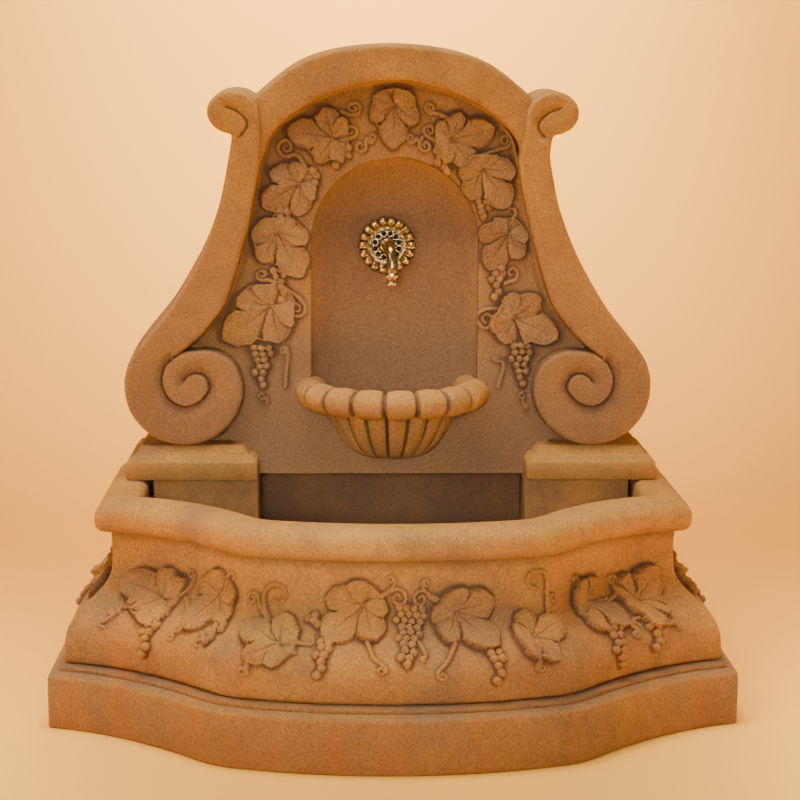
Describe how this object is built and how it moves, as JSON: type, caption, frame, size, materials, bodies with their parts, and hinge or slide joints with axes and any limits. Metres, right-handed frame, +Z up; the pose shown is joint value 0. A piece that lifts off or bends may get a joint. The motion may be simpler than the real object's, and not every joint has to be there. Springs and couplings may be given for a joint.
{
  "type": "wall fountain",
  "caption": "Cast-stone wall fountain: arched back panel with vine relief, niche, brass spout and fluted half bowl over a serpentine basin.",
  "frame": {"origin": "on the floor, under the middle of the footprint", "axes": "+X to the viewer's right, +Y towards the wall behind, +Z up"},
  "size_m": [1.12, 0.6, 1.098],
  "materials": {
    "basin_stone": "ochre cast stone, fine sandy grain, umber patina in the hollows, rust-orange streaks",
    "panel_stone": "ochre cast stone, fine sandy grain, umber patina in the hollows",
    "pier_stone": "darker ochre cast stone",
    "rosette_brass": "antique brass, dark recesses and rubbed highlights",
    "spout_brass": "antique brass, rubbed"
  },
  "bodies": {
    "root": {"basin": "basin_stone", "back_panel": "panel_stone", "pier_left": "pier_stone", "pier_right": "pier_stone", "spout_rosette": "rosette_brass", "spout": "spout_brass"}
  },
  "joints": []
}
